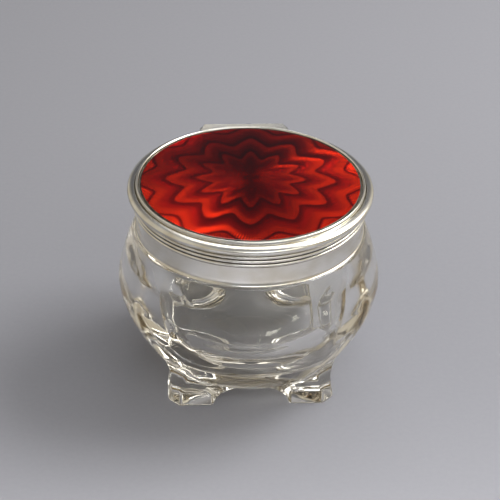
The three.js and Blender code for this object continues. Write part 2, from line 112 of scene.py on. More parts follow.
# Soft lamps: name, place and aim in metres, width and height, watts, and spread in degrees
SOFTBOXES = (
    ("softbox_key", (0.5, 0.14, 0.6), (0, 0, 0.04), (0.42, 0.42), 5.4, 180),
    ("softbox_back", (0.14, 0.38, 0.8), (0, 0, 0.04), (0.66, 0.42), 2.0, 180),
    ("softbox_front", (0.12, -0.45, 0.45), (0, -0.1, 0.0), (0.5, 0.3), 0.75, 180),
    ("softbox_low", (0.0, -0.3, 0.24), (0, -0.2, 0.0), (0.4, 0.15), 0.4, 50),
)


def length(name, description, default):
    """A size shown in the scene's length unit and kept in metres."""
    return FloatProperty(name=name, description=description, default=default, min=0.0,
                         precision=5, subtype="DISTANCE", unit="LENGTH")


def angle(name, description, degrees):
    """An angle shown in degrees."""
    return FloatProperty(name=name, description=description, default=math.radians(degrees),
                         subtype="ANGLE", unit="ROTATION")


def number(name, description, default):
    """A plain ratio or power."""
    return FloatProperty(name=name, description=description, default=default, precision=3)


def count(name, description, default):
    """A number of like things, at least one."""
    return IntProperty(name=name, description=description, default=default, min=1)


def paint(name, description, default):
    """A colour kept as the sRGB hex value of the real finish."""
    return StringProperty(name=name, description=description, default=default)


class GlassSizes(bpy.types.PropertyGroup):
    """Sizes of the glass body, from the ground up."""

    underside: length("Underside", "Height of the belly's flat underside", 8.3 * MM)
    base_level: length("Base level", "Height at which the base radius is taken", 9.2 * MM)
    base_radius: length("Base radius", "Radius low on the belly", 29.2 * MM)
    belly_level: length("Belly level", "Height of the widest place", 31.5 * MM)
    belly_radius: length("Belly radius", "Widest radius of the belly", high("glass_jar").x)
    shoulder_radius: length("Shoulder radius", "Radius under the collar", 34.3 * MM)
    neck_radius: length("Neck radius", "Outside of the neck inside the collar", 31 * MM)
    mouth_radius: length("Mouth radius", "Clear opening of the neck", 27.5 * MM)
    flute_hollow: length("Flute hollow", "Depth of a flute below its chord", 0.5 * MM)
    flute_angle: angle("Flute half angle", "Half the width of a flute seen from above", 15.5)
    flute_point: length("Flute point", "Height where a flute ends above its foot", 14.2 * MM)
    flute_full: length("Flute full", "Height where a flute reaches its full width", 30.2 * MM)
    lower_power: number("Lower curve power", "Fullness of the curve below the widest place", 1.67)
    upper_power: number("Upper curve power", "Fullness of the curve above the widest place", 1.5)
    cavity_radius: length("Cavity radius", "Widest radius of the hollow", 31 * MM)
    cavity_floor: length("Cavity floor", "Height of the hollow's floor", 15 * MM)
    foot_width: length("Foot half width", "Half the width over two feet", 24.9 * MM)
    foot_cant: length("Foot cant", "Corner cut off each foot", 3.3 * MM)
    foot_waist: length("Foot waist", "How far the feet draw in at the waist", 0.9 * MM)
    waist_level: length("Waist level", "Height of the feet's waist", 7 * MM)
    flare_height: length("Flare height", "Rise of the flare above the waist", 13 * MM)
    flare: length("Flare", "How far the block flares under the belly", 4.2 * MM)
    flare_cant: length("Flare cant", "Corner cut at the top of the flare", 10 * MM)
    arch_span: length("Arch half span", "Half the width of an arch at the ground", 11.2 * MM)
    arch_height: length("Arch height", "Height of an arch", 6 * MM)
    foot_inner_round: length("Foot inner round", "Rounding of a foot towards the middle", 8 * MM)
    edge_round: length("Edge rounding", "Polished rounding of the cut edges", 0.6 * MM)
    foot_fillet: length("Foot fillet", "Hollow between the feet and the belly", 1.4 * MM)
    grid_step: length("Grid step", "Spacing of the grid that finds the surface", 0.5 * MM)


class SilverSizes(bpy.types.PropertyGroup):
    """Sizes of the collar, the lid's rim and the hinge."""

    collar_inner: length("Collar inner radius", "Inside of the collar", 32.6 * MM)
    collar_wall: length("Collar wall", "Thickness of the plain band", 0.6 * MM)
    lip_flare: length("Lip flare", "How far the lower lip turns out", 0.7 * MM)
    lip_height: length("Lip height", "Height of the turned lip", 2 * MM)
    reed_bulge: length("Reed bulge", "How far each reed stands out of its groove", 0.5 * MM)
    reed_groove: length("Reed groove", "Width of the groove between two reeds", 0.3 * MM)
    reeds: count("Reeds", "Reeds on the moulding", 3)
    bezel_radius: length("Bezel radius", "Outside of the upright bezel", 29.2 * MM)
    bezel_wall: length("Bezel wall", "Thickness of the upright bezel", 0.8 * MM)
    rim_inner: length("Rim inner radius", "Inside of the lid's rim", 29.6 * MM)
    ledge: length("Ledge", "Width of the ledge under the plate", 1 * MM)
    ledge_thickness: length("Ledge thickness", "Thickness of that ledge", 0.4 * MM)
    roll_width: length("Roll width", "How far the roll stands out of the rim's top", 2.1 * MM)
    roll_undercut: length("Roll undercut", "How far the roll turns in below", 1.4 * MM)
    roll_level: length("Roll level", "Height of the roll's widest line in the rim", 1.4 * MM)
    bead_width: length("Bead width", "Width of the bead round the enamel", 1 * MM)
    worn_edge: length("Worn edge", "Softness of the silver's edges", 0.1 * MM)
    barrel_radius: length("Barrel radius", "Radius of the hinge knuckles", 1.5 * MM)
    bore_radius: length("Bore radius", "Hole through the knuckles", 1 * MM)
    leaf_gap: length("Leaf gap", "Running gap between the lid's leaf and the knuckles", 0.12 * MM)
    leaf_thickness: length("Leaf thickness", "Thickness of the lid's leaf", 0.7 * MM)
    leaf_fall: length("Leaf fall", "How far the leaf slopes down from its back edge", 0.42 * MM)
    leaf_slope: length("Leaf slope", "How far forward that slope runs", 3 * MM)
    leaf_cant: length("Leaf cant", "How far the leaf's back corners are drawn in", 1.3 * MM)


class EnamelPattern(bpy.types.PropertyGroup):
    """Engine turning seen through the enamel."""

    petals: count("Petals", "Points of the turned star", 12)
    cuts: count("Cuts", "Engine-turned cuts round the plate", 264)
    ring_radius: length("Ring radius", "Mean radius of the outer zigzag", 22.6 * MM)
    ring_spacing: length("Ring spacing", "Distance from one zigzag to the next", 8.6 * MM)
    ring_wave: length("Ring wave", "Height of the zigzag's points", 2.45 * MM)
    rings: count("Rings", "Rings counted in from the outer zigzag", 4)
    sharpness: number("Sharpness", "Nearly 1 for sharp points, less for round ones", 0.82)
    unevenness: length("Unevenness", "How far the turning strays from a true pattern", 1.6 * MM)
    swirl: angle("Swirl", "How far the star's petals curl at the centre", 14)
    star_radius: length("Star radius", "Radius where the points reach their full height", 9 * MM)
    turn: angle("Turn", "How far the star's point is turned from +X", -3.5)
    sway: angle("Sway", "How far the cuts sway to each side of the radius", 0.55)
    cut_depth: length("Cut depth", "Depth of the cuts at the edge", 0.052 * MM)
    relief: length("Relief", "Depth of the turned waves on the plate", 0.12 * MM)


class FinishColours(bpy.types.PropertyGroup):
    """Colours of the real finishes."""

    glass_depth: paint("Glass depth", "Tint of the glass where it is thick", "#f4ecd8")
    bright_silver: paint("Bright silver", "Silver where it is rubbed most", "#f5f2e9")
    warm_silver: paint("Warm silver", "Silver under a thin film of tarnish", "#e2dbcb")
    # This nearly black colour is tarnish in the reeds' grooves, and painted shade under the lid's
    # rim, in the gaps round the enamel and the bead, and on the shelf under the lid
    tarnish: paint("Tarnish", "Tarnish at the bottom of the grooves", "#2b2824")
    gilding: paint("Gilding", "Gold where the gilding is whole", "#d9b25c")
    plaster: paint("Plaster", "Plaster between its pinholes", "#efeae0")
    deep_enamel: paint("Deep enamel", "Enamel over the deepest turning", "#640808")
    bright_enamel: paint("Bright enamel", "Enamel over the shallowest turning", "#c6280d")
    paper: paint("Paper", "Plain pale grey sweep of paper", "#8f8f95")


class StageSettings(bpy.types.PropertyGroup):
    """Camera of the studio."""

    lens: number("Lens", "Focal length in millimetres", 115.2)
    distance: length("Distance", "Camera to aim point", 479 * MM)
    aim_height: length("Aim height", "Height of the aim point", 39.1 * MM)
    aim_side: length("Aim side", "Aim point to the right of the axis", 0.25 * MM)
    elevation: angle("Elevation", "Camera above the table", 32.9)
    swing: angle("Swing", "Camera round to the jar's left", 4)
    roll: angle("Roll", "Camera tilt about its own line of sight", 1.3)


class JarSettings(bpy.types.PropertyGroup):
    """All sizes and colours of the jar and its studio."""

    glass: PointerProperty(type=GlassSizes)
    silver: PointerProperty(type=SilverSizes)
    enamel: PointerProperty(type=EnamelPattern)
    colours: PointerProperty(type=FinishColours)
    stage: PointerProperty(type=StageSettings)


def linear(hex_colour):
    """Turns an sRGB hex colour into linear red, green, blue and alpha."""
    values = [int(hex_colour[i:i + 2], 16) / 255 for i in (1, 3, 5)]
    return (*(v / 12.92 if v <= 0.04045 else ((v + 0.055) / 1.055) ** 2.4 for v in values), 1.0)


def feed(tree, node, inputs):
    """Sets a node's inputs to numbers or hex colours, or links them to sockets, or to the first
    outputs of other nodes."""
    for key, value in inputs.items():
        if isinstance(value, bpy.types.Node):
            value = value.outputs[0]
        if isinstance(value, bpy.types.NodeSocket):
            tree.links.new(value, node.inputs[key])
        else:
            node.inputs[key].default_value = linear(value) if isinstance(value, str) else value


def put(tree, kind, inputs=None, stops=(), **settings):
    """Adds a node with its inputs and settings. Stops are a ramp's positions and hex colours."""
    node = tree.nodes.new("ShaderNode" + kind)
    for name, value in settings.items():
        setattr(node, name, value)
    feed(tree, node, inputs or {})
    if stops:
        elements = node.color_ramp.elements
        while len(elements) < len(stops):
            elements.new(0.5)
        for element, (position, colour) in zip(elements, stops):
            element.position = position
            element.color = linear(colour)
    return node


def finish(name):
    """Makes a function that lays out nodes into one that gives the material of that name, which is
    laid out once, from the jar's settings."""
    def wrap(lay_out):
        @functools.wraps(lay_out)
        def material():
            made = bpy.data.materials.get(name)
            if made is None:
                made = bpy.data.materials.new(name)
                made.use_nodes = True
                tree = made.node_tree
                lay_out(tree, tree.nodes["Principled BSDF"], bpy.context.scene.jar)
            return made
        return material
    return wrap


def per(size):
    """Noise scale that gives marks of a size in millimetres."""
    return 1 / (size * MM)


def round_place(tree, place):
    """A place's distance from the axis, its angle round it and its height."""
    parts = put(tree, "SeparateXYZ", {"Vector": place}).outputs
    flat = put(tree, "CombineXYZ", {"X": parts["X"], "Y": parts["Y"]})
    radius = put(tree, "VectorMath", {0: flat}, operation="LENGTH").outputs["Value"]
    turn = put(tree, "Math", {0: parts["Y"], 1: parts["X"]}, operation="ARCTAN2")
    return radius, turn, parts["Z"]


@finish("lead_glass_cut_and_polished")
def lead_glass(tree, shader, jar):
    """Lead glass, blown, cut and polished by hand: bright clear edges, with a faint ripple left by
    polishing and a trace of warmth where it is thick."""
    place = put(tree, "TexCoord").outputs["Object"]
    # The ripple is some 9 mm long, the width of a polishing wheel's lap
    ripple = put(tree, "TexNoise", {"Vector": place, "Scale": per(9), "Detail": 1.0})
    bump = put(tree, "Bump", {"Height": ripple, "Strength": 1.0, "Distance": 0.08 * MM})
    feed(tree, shader, {
        "Base Color": "#fdfdfb", "Metallic": 0.0, "Roughness": 0.0, "IOR": 1.54,
        "Transmission Weight": 1.0, "Normal": bump,
    })
    # Lamps shine through clear glass onto what lies below it, and lose most where they graze it
    is_shadow = put(tree, "LightPath").outputs["Is Shadow Ray"]
    graze = put(tree, "LayerWeight", {"Blend": 0.5}).outputs["Facing"]
    passed = put(tree, "MixRGB", {"Fac": graze, 1: "#d4d3cf", 2: "#2c2c2a"})
    clear = put(tree, "BsdfTransparent", {"Color": passed})
    through = put(tree, "MixShader", {0: is_shadow, 1: shader, 2: clear})
    # Each centimetre of glass takes up about 1 % of the red light and 3 % of the blue
    depth = put(tree, "VolumeAbsorption", {"Color": jar.colours.glass_depth, "Density": 9.0})
    feed(tree, tree.nodes["Material Output"], {"Surface": through, "Volume": depth})


@finish("sterling_silver_spun_and_polished")
def polished_silver(tree, shader, jar):
    """Sterling silver, spun and hand polished: soft mirror with hairlines from a century of rubbing
    and slightly duller, warmer clouds of old tarnish."""
    place = put(tree, "TexCoord").outputs["Object"]
    radius, turn, height = round_place(tree, place)
    # Hairlines run round the piece: long in angle, 0.15 mm apart in radius and height
    slow = put(tree, "Math", {0: turn, 1: 2 * MM}, operation="MULTIPLY")
    drawn_out = put(tree, "CombineXYZ", {"X": radius, "Y": slow, "Z": height})
    hairs = put(tree, "TexNoise", {"Vector": drawn_out, "Scale": per(0.15), "Detail": 3.0})
    clouds = put(tree, "TexNoise", {"Vector": place, "Scale": per(7), "Detail": 4.0})
    tone = put(tree, "ValToRGB", {"Fac": clouds}, stops=(
        (0.3, jar.colours.warm_silver), (0.62, jar.colours.bright_silver)))
    dull = put(tree, "MapRange", {"Value": clouds, "From Min": 0.3, "From Max": 0.7,
                                  "To Min": 0.26, "To Max": 0.2})
    bump = put(tree, "Bump", {"Height": hairs, "Strength": 0.35, "Distance": 0.01 * MM})
    feed(tree, shader, {"Base Color": tone, "Metallic": 1.0, "Roughness": dull, "Normal": bump})


@finish("sterling_silver_painted_shade_and_tarnish")
def shade_and_tarnish_silver(tree, shader, jar):
    """Nearly black, dull, a little uneven: tarnish and old polish in the reeds' grooves, and painted
    shade under the lid's rim, in the gaps round the enamel and the bead, and on the shelf under the
    lid.
    """
    place = put(tree, "TexCoord").outputs["Object"]
    dark_mottle = put(tree, "TexNoise", {"Vector": place, "Scale": per(2), "Detail": 4.0})
    tone = put(tree, "ValToRGB", {"Fac": dark_mottle}, stops=(
        (0.35, jar.colours.tarnish), (0.75, "#6e685e")))
    bump = put(tree, "Bump", {"Height": dark_mottle, "Strength": 0.5, "Distance": 0.02 * MM})
    feed(tree, shader, {"Base Color": tone, "Metallic": 1.0, "Roughness": 0.5, "Normal": bump})


@finish("gilt_silver_spun_sheet")
def gilt_silver(tree, shader, jar):
    """Fire-gilt silver sheet: warm, a little hazy, mottled where the gold has thinned."""
    place = put(tree, "TexCoord").outputs["Object"]
    wear = put(tree, "TexNoise", {"Vector": place, "Scale": per(11), "Detail": 2.0})
    tone = put(tree, "ValToRGB", {"Fac": wear}, stops=(
        (0.35, jar.colours.gilding), (0.7, "#e6c98a")))
    dull = put(tree, "MapRange", {"Value": wear, "From Min": 0.3, "From Max": 0.7,
                                  "To Min": 0.36, "To Max": 0.29})
    bump = put(tree, "Bump", {"Height": wear, "Strength": 0.4, "Distance": 0.02 * MM})
    feed(tree, shader, {"Base Color": tone, "Metallic": 1.0, "Roughness": dull, "Normal": bump})


@finish("plaster_of_paris_cast")
def setting_plaster(tree, shader, jar):
    """Plaster of Paris run in behind the collar: chalky, matt, with pinholes."""
    place = put(tree, "TexCoord").outputs["Object"]
    pits = put(tree, "TexNoise", {"Vector": place, "Scale": per(0.6), "Detail": 5.0})
    tone = put(tree, "ValToRGB", {"Fac": pits}, stops=(
        (0.0, "#d8d2c4"), (1.0, jar.colours.plaster)))
    bump = put(tree, "Bump", {"Height": pits, "Strength": 0.6, "Distance": 0.1 * MM})
    feed(tree, shader, {"Base Color": tone, "Roughness": 0.9, "Normal": bump})


def zigzag_level(tree, pattern, place, radius, turn):
    """How many zigzags of the engine turning lie inside a place, and its share of the way to the
    next one."""
    # The star's points stand at every twelfth of a turn, and fade and curl towards the centre
    curl = put(tree, "MapRange", {
        "Value": radius, "From Min": 0.0, "From Max": pattern.star_radius,
        "To Min": pattern.turn + pattern.swirl, "To Max": pattern.turn,
    }, interpolation_type="SMOOTHSTEP")
    swing = put(tree, "Math", {0: turn, 1: curl}, operation="SUBTRACT")
    swing = put(tree, "Math", {0: swing, 1: float(pattern.petals)}, operation="MULTIPLY")
    wave = put(tree, "Math", {0: swing}, operation="COSINE")
    wave = put(tree, "Math", {0: wave, 1: pattern.sharpness}, operation="MULTIPLY")
    zigzag = put(tree, "Math", {0: wave}, operation="ARCSINE")
    fade = put(tree, "MapRange", {
        "Value": radius, "From Min": 0.0, "From Max": pattern.star_radius,
        "To Min": 0.0, "To Max": pattern.ring_wave / math.asin(pattern.sharpness),
    })
    push = put(tree, "Math", {0: zigzag, 1: fade}, operation="MULTIPLY")
    # The turning strays from its pattern over some 7 mm, as the hand that fed the plate did
    hand = put(tree, "TexNoise", {"Vector": place, "Scale": per(7), "Detail": 1.0})
    level = put(tree, "Math", {0: hand, 1: pattern.unevenness, 2: radius},
                operation="MULTIPLY_ADD")
    level = put(tree, "Math", {0: level, 1: push}, operation="SUBTRACT")
    level = put(tree, "Math", {0: level, 1: pattern.ring_radius + pattern.unevenness / 2},
                operation="SUBTRACT")
    return put(tree, "Math", {0: level, 1: 1 / pattern.ring_spacing, 2: float(pattern.rings)},
               operation="MULTIPLY_ADD")


@finish("translucent_red_enamel_over_silver")
def red_enamel(tree, shader, jar):
    """Translucent red enamel fired over engine-turned silver and ground flat: a clear glassy skin,
    and below it the cuts, which flash with the light, and darker red where the cut is deep."""
    pattern, colours = jar.enamel, jar.colours
    place = put(tree, "TexCoord").outputs["Object"]
    radius, turn, _ = round_place(tree, place)
    level = zigzag_level(tree, pattern, place, radius, turn)

    # Just outside each zigzag the cut is deepest, then it rises to the next one. It keeps one
    # depth at the centre, and another in the lobes outside the outermost zigzag.
    depth = put(tree, "Math", {0: level}, operation="FRACT")
    off_centre = put(tree, "MapRange", {"Value": radius, "From Min": 5 * MM, "From Max": 12 * MM})
    depth = put(tree, "Mix", {0: off_centre, 2: 0.6, 3: depth})
    lobe = put(tree, "MapRange", {"Value": level, "From Min": pattern.rings + 1.02,
                                  "From Max": pattern.rings + 1.16})
    depth = put(tree, "Mix", {0: lobe, 2: depth, 3: 0.85})
    tone = put(tree, "ValToRGB", {"Fac": depth}, stops=(
        (0.0, colours.deep_enamel), (0.07, "#660808"), (0.4, "#98110a"),
        (0.78, colours.bright_enamel), (0.91, "#c0240c"), (1.0, colours.deep_enamel)))
    tone.color_ramp.interpolation = "EASE"

    # The enamel lies thickest over the middle of the plate, so its red is deepest there
    thin = put(tree, "MapRange", {"Value": radius, "From Min": 6 * MM, "From Max": 24 * MM,
                                  "To Min": 0.3, "To Max": 1.0})
    glow = put(tree, "MixRGB", {"Fac": thin, 1: "#4a0606", 2: tone})

    # The cuts sway to and fro about the radius, once in each ring, and deepen towards the edge
    sway = put(tree, "Math", {0: level, 1: 2 * math.pi}, operation="MULTIPLY")
    sway = put(tree, "Math", {0: sway}, operation="COSINE")
    sway = put(tree, "Math", {0: sway, 1: pattern.sway, 2: turn}, operation="MULTIPLY_ADD")
    cuts = put(tree, "Math", {0: sway, 1: float(pattern.cuts)}, operation="MULTIPLY")
    cuts = put(tree, "Math", {0: cuts}, operation="SINE")
    rise = put(tree, "Math", {0: radius, 1: 1 / ENAMEL_RADIUS}, operation="MULTIPLY")
    rise = put(tree, "Math", {0: cuts, 1: rise}, operation="MULTIPLY")
    bump = put(tree, "Bump", {"Height": rise, "Strength": 1.0, "Distance": pattern.cut_depth})
    feed(tree, shader, {
        "Base Color": glow, "Metallic": 1.0, "Roughness": 0.26, "Normal": bump,
        "Specular Tint": "#b3200e", "Coat Weight": 1.0, "Coat Roughness": 0.03, "Coat IOR": 1.5,
    })


@finish("matt_grey_paper")
def matt_paper(tree, shader, jar):
    """Matt grey paper: the faint grain of its pulp and nothing else."""
    place = put(tree, "TexCoord").outputs["Object"]
    pulp = put(tree, "TexNoise", {"Vector": place, "Scale": per(1.5), "Detail": 2.0})
    tone = put(tree, "MixRGB", {"Fac": pulp, 1: jar.colours.paper, 2: "#949499"})
    feed(tree, shader, {"Base Color": tone, "Roughness": 0.95, "Specular IOR Level": 0.1})


def add_mesh(name, mesh, material, body, replaced, crease):
    """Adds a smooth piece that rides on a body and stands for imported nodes. Its edges are sharp
    where they turn by more than the crease in degrees; with a crease of 0, none are."""
    mesh.shade_smooth()
    if crease:
        mesh.set_sharp_from_angle(angle=math.radians(crease))
    mesh.materials.append(material)
    piece = bpy.data.objects.new(name, mesh)
    bpy.context.scene.collection.objects.link(piece)
    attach(piece, body)
    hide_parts(*replaced)
    return piece


def add_piece(name, points, faces, material, body, replaced, crease=35):
    """Adds a piece from its faces and its points in metres."""
    mesh = bpy.data.meshes.new(name)
    mesh.from_pydata(np.asarray(points, float).tolist(), [], [list(map(int, f)) for f in faces])
    if mesh.validate():
        raise RuntimeError(f"{name} has faces that don't fit together")
    return add_mesh(name, mesh, material, body, replaced, crease)


def paint_shade_dark(piece, is_shaded):
    """Gives the nearly black finish of painted shade, with tarnish in the reeds' grooves, to the
    faces whose radius and height lie in a shaded groove, gap or underside.
    """
    piece.data.materials.append(shade_and_tarnish_silver())
    for face in piece.data.polygons:
        if is_shaded(math.hypot(face.center.x, face.center.y), face.center.z):
            face.material_index = 1


def arc(centre, radii, start, end, steps=12):
    """Points of an elliptic arc."""
    return [(centre[0] + radii[0] * math.cos(a), centre[1] + radii[1] * math.sin(a))
            for a in np.linspace(start, end, steps + 1)]


def dome(radii, base, rise, edge):
    """Points of a low dome that comes down to its base at the edge."""
    return [(r, base + rise * (1 - (r / edge) ** 2)) for r in radii]


def soften(outline, reach, steps=3):
    """Rounds the sharp corners of a closed outline over a short reach on both sides, which takes
    up no more than two fifths of a side."""
    nearly_straight, side_share = math.radians(145), 2.5
    soft = []
    for i, corner in enumerate(outline):
        here = Vector(corner)
        before = Vector(outline[i - 1]) - here
        after = Vector(outline[(i + 1) % len(outline)]) - here
        if before.angle(after) > nearly_straight:
            soft.append(tuple(here))
            continue
        start = here + before.normalized() * min(reach, before.length / side_share)
        end = here + after.normalized() * min(reach, after.length / side_share)
        for step in range(steps + 1):
            t = step / steps
            soft.append(tuple(start * (1 - t) ** 2 + here * 2 * t * (1 - t) + end * t ** 2))
    return soft


def spin(outline, segments=RING_SEGMENTS):
    """Revolves an outline about the axis. One that starts and ends on the axis is closed there."""
    capped = outline[0][0] == 0 and outline[-1][0] == 0
    rings = outline[1:-1] if capped else outline
    turn = np.arange(segments) * (2 * math.pi / segments)
    points = np.concatenate([
        np.column_stack([r * np.cos(turn), r * np.sin(turn), np.full(segments, z)])
        for r, z in rings
    ])
    here = np.arange(segments)
    after = (here + 1) % segments
    faces = []
    for i in range(len(rings) - 1 if capped else len(rings)):
        near, far = i * segments, ((i + 1) % len(rings)) * segments
        faces += np.column_stack([near + here, near + after, far + after, far + here]).tolist()
    if capped:
        centre = np.full(segments, len(points))
        points = np.vstack([points, [0, 0, outline[0][1]], [0, 0, outline[-1][1]]])
        last = (len(rings) - 1) * segments
        faces += np.column_stack([centre, after, here]).tolist()
        faces += np.column_stack([centre + 1, last + here, last + after]).tolist()
    return points, faces


def smooth_max(a, b, reach):
    """The larger of two fields, with the edge between them rounded."""
    near = np.maximum(reach - np.abs(a - b), 0) / reach
    return np.maximum(a, b) + near * near * reach / 4


def smooth_min(a, b, reach):
    """The smaller of two fields, with the corner between them filled."""
    return -smooth_max(-a, -b, reach)


def glass_field(glass):
    """A function that is negative inside the glass and zero on its surface, all in millimetres."""
    mm = SimpleNamespace(**{p.identifier: getattr(glass, p.identifier) / MM
                            for p in glass.bl_rna.properties if p.unit == "LENGTH"})
    shoulder, neck_top = SHOULDER_Z / MM, NECK_TOP_Z / MM

    def belly_radius(z):
        """Radius of the round belly, whose curves run on a little past both of its ends."""
        run_below, run_above = 1.2, 1.1
        below = np.clip((mm.belly_level - z) / (mm.belly_level - mm.base_level), 0, run_below)
        above = np.clip((z - mm.belly_level) / (shoulder - mm.belly_level), 0, run_above)
        radius = mm.belly_radius - (mm.belly_radius - mm.base_radius) * below ** glass.lower_power
        return radius - (mm.belly_radius - mm.shoulder_radius) * above ** glass.upper_power

    def belly(radial, along, across, z):
        """Round belly with its four flutes and its underside, and the neck."""
        radius = belly_radius(z)
        near = 0.05
        slope = (belly_radius(z + near) - belly_radius(z - near)) / (2 * near)
        steep = np.sqrt(1 + slope ** 2)
        lobe = (radial - radius) / steep

        # A flute narrows to its point below, and fades from halfway up to the shoulder
        rise = np.clip((z - mm.belly_level) / (shoulder - mm.belly_level), 0, 1)
        run = np.clip(2 * rise - 1, 0, 1)
        share = 1 - run * run * (3 - 2 * run)
        narrowest = 0.02
        taper = (z - mm.flute_point) / (mm.flute_full - mm.flute_point)
        taper = np.sqrt(np.clip(taper, narrowest, 1))
        chord = 1 - share * (1 - np.cos(glass.flute_angle * taper))
        width = radius * np.sqrt(np.maximum(1 - chord ** 2, TINY))
        hollow = share * taper * mm.flute_hollow * np.maximum(1 - (across / width) ** 2, -1)
        flute = (along - radius * chord + hollow) / steep

        side = smooth_max(lobe, flute, mm.edge_round)
        side = smooth_max(side, mm.underside - z, UNDERSIDE_ROUND)
        side = smooth_max(side, z - shoulder, RIM_ROUND)
        neck_root = 3
        neck = smooth_max(radial - mm.neck_radius, z - neck_top, RIM_ROUND)
        neck = smooth_max(neck, shoulder - neck_root - z, RIM_ROUND)
        return smooth_min(side, neck, RIM_ROUND)

    def feet(x, y, along, z):
        """Canted block that flares from the feet's waist up into the belly."""
        flare_power = 1.4
        low_part = np.clip(z / mm.waist_level, 0, 1)
        flare = np.clip((z - mm.waist_level) / mm.flare_height, 0, 1)
        width = mm.foot_width - mm.foot_waist * np.sin(low_part * math.pi / 2)
        width = width + mm.flare * flare ** flare_power
        cant = mm.foot_cant + (mm.flare_cant - mm.foot_cant) * flare
        block = smooth_max(np.abs(x) - width, np.abs(y) - width, mm.edge_round)
        corner = math.sqrt(2) * width - cant / math.sqrt(2)
        block = smooth_max(block, along - corner, mm.edge_round)
        block = smooth_max(block, z - mm.waist_level - mm.flare_height, FLARE_ROUND)
        return smooth_max(block, -z, SOLE_ROUND)

    def hollow(radial, z):
        """Inside of the jar, which draws in towards its floor and up to the mouth's radius."""
        draw_in, draw_height, throat, wall_steep, no_limit = 5, 11.5, 9, 1.15, -50.0
        down = np.maximum(mm.belly_level - z, 0) / draw_height
        up = np.maximum(z - mm.belly_level, 0) / (neck_top - throat - mm.belly_level)
        radius = mm.cavity_radius - draw_in * down ** 2
        radius = radius - (mm.cavity_radius - mm.mouth_radius) * up ** 2
        least = np.where(z > mm.belly_level, mm.mouth_radius, no_limit)
        radius = smooth_max(radius, least, RIM_ROUND)
        return smooth_max((radial - radius) / wall_steep, mm.cavity_floor - z, FLOOR_ROUND)

    def tunnels(x, y, z):
        """Two crossing tunnels, each foot rounded where they meet; positive inside them."""
        x, y, round_off = np.abs(x), np.abs(y), mm.foot_inner_round
        apart = np.minimum(np.abs(x - y), round_off)
        rounded = (x + y + np.sqrt(2 * round_off ** 2 - apart ** 2)) / 2 - round_off
        reach = np.where(np.abs(x - y) < round_off, rounded, np.minimum(x, y))
        reach = np.maximum(reach, 0) / mm.arch_span
        height = np.maximum(z, 0) / mm.arch_height
        return mm.arch_height * (1 - np.sqrt(reach ** 2 + height ** 2))

    def field(p):
        x, y, z = p[..., 0], p[..., 1], p[..., 2]
        radial = np.sqrt(x * x + y * y)
        along = (np.abs(x) + np.abs(y)) / math.sqrt(2)
        across = (np.abs(x) - np.abs(y)) / math.sqrt(2)
        solid = smooth_min(belly(radial, along, across, z), feet(x, y, along, z), mm.foot_fillet)
        solid = smooth_max(solid, tunnels(x, y, z), mm.edge_round)
        return smooth_max(solid, -hollow(radial, z), RIM_ROUND)

    return field


def grid_values(field, axes):
    """Values of a field at each point of a grid."""
    value = np.empty([len(axis) for axis in axes])
    for i, x in enumerate(axes[0]):
        gy, gz = np.meshgrid(axes[1], axes[2], indexing="ij")
        value[i] = field(np.stack([np.full_like(gy, x), gy, gz], axis=-1))
    return value


def gradient(field, points, reach):
    """Slope of a field at points, taken over a reach to each side."""
    parts = [(field(points + shift) - field(points - shift)) / (2 * reach)
             for shift in np.eye(3) * reach]
    return np.stack(parts, axis=-1)


def field_mesh(field, low_corner, high_corner, step):
    """Finds the surface where a field is zero: one point in each crossed cell of a grid, joined to
    its neighbours, then pulled onto the surface. Returns points, faces and outward normals."""
    counts = np.ceil((high_corner - low_corner) / step).astype(int) + 1
    value = grid_values(field, [low_corner[i] + step * np.arange(counts[i]) for i in range(3)])
    inside = value < 0

    corners = [(a, b, c) for a in (0, 1) for b in (0, 1) for c in (0, 1)]
    size = counts - 1
    total = np.zeros(size, int)
    for a, b, c in corners:
        total += inside[a:a + size[0], b:b + size[1], c:c + size[2]]
    cells = np.argwhere((total > 0) & (total < len(corners)))
    index = np.full(size, -1)
    index[tuple(cells.T)] = np.arange(len(cells))

    # A cell's point is the mean of the places where its edges cross the surface
    points = np.zeros((len(cells), 3))
    weight = np.zeros(len(cells))
    for start in corners:
        for axis in range(3):
            if start[axis]:
                continue
            end = list(start)
            end[axis] = 1
            first = value[tuple((cells + start).T)]
            second = value[tuple((cells + end).T)]
            crossed = (first < 0) != (second < 0)
            part = np.where(crossed, first / np.where(crossed, first - second, 1), 0)
            place = cells + np.array(start, float)
            place[:, axis] += part
            points += np.where(crossed[:, None], place, 0)
            weight += crossed
    points = low_corner + step * points / weight[:, None]

    # Each crossed edge of the grid gives one face, through the four cells round it
    faces = []
    for axis in range(3):
        second, third = (axis + 1) % 3, (axis + 2) % 3
        ahead = np.take(inside, range(1, counts[axis]), axis=axis)
        behind = np.take(inside, range(counts[axis] - 1), axis=axis)
        edges = np.argwhere(ahead != behind)
        outward = behind[tuple(edges.T)]
        around = []
        for shift_second, shift_third in ((-1, -1), (0, -1), (0, 0), (-1, 0)):
            cell = edges.copy()
            cell[:, second] += shift_second
            cell[:, third] += shift_third
            around.append(index[tuple(cell.T)])
        quads = np.column_stack(around)
        quads[~outward] = quads[~outward][:, ::-1]
        faces.append(quads)
    faces = np.concatenate(faces)

    # Points are pulled by the slope close by; normals take in more, so that they turn smoothly
    pulls, flattest, fine, broad = 4, 0.2, 0.02, 0.1
    for _ in range(pulls):
        slope = gradient(field, points, fine)
        reach = field(points) / np.maximum((slope ** 2).sum(axis=1), flattest)
        points -= np.clip(reach, -step, step)[:, None] * slope
    normals = gradient(field, points, broad)
    normals /= np.linalg.norm(normals, axis=1)[:, None]
    return points, faces, normals


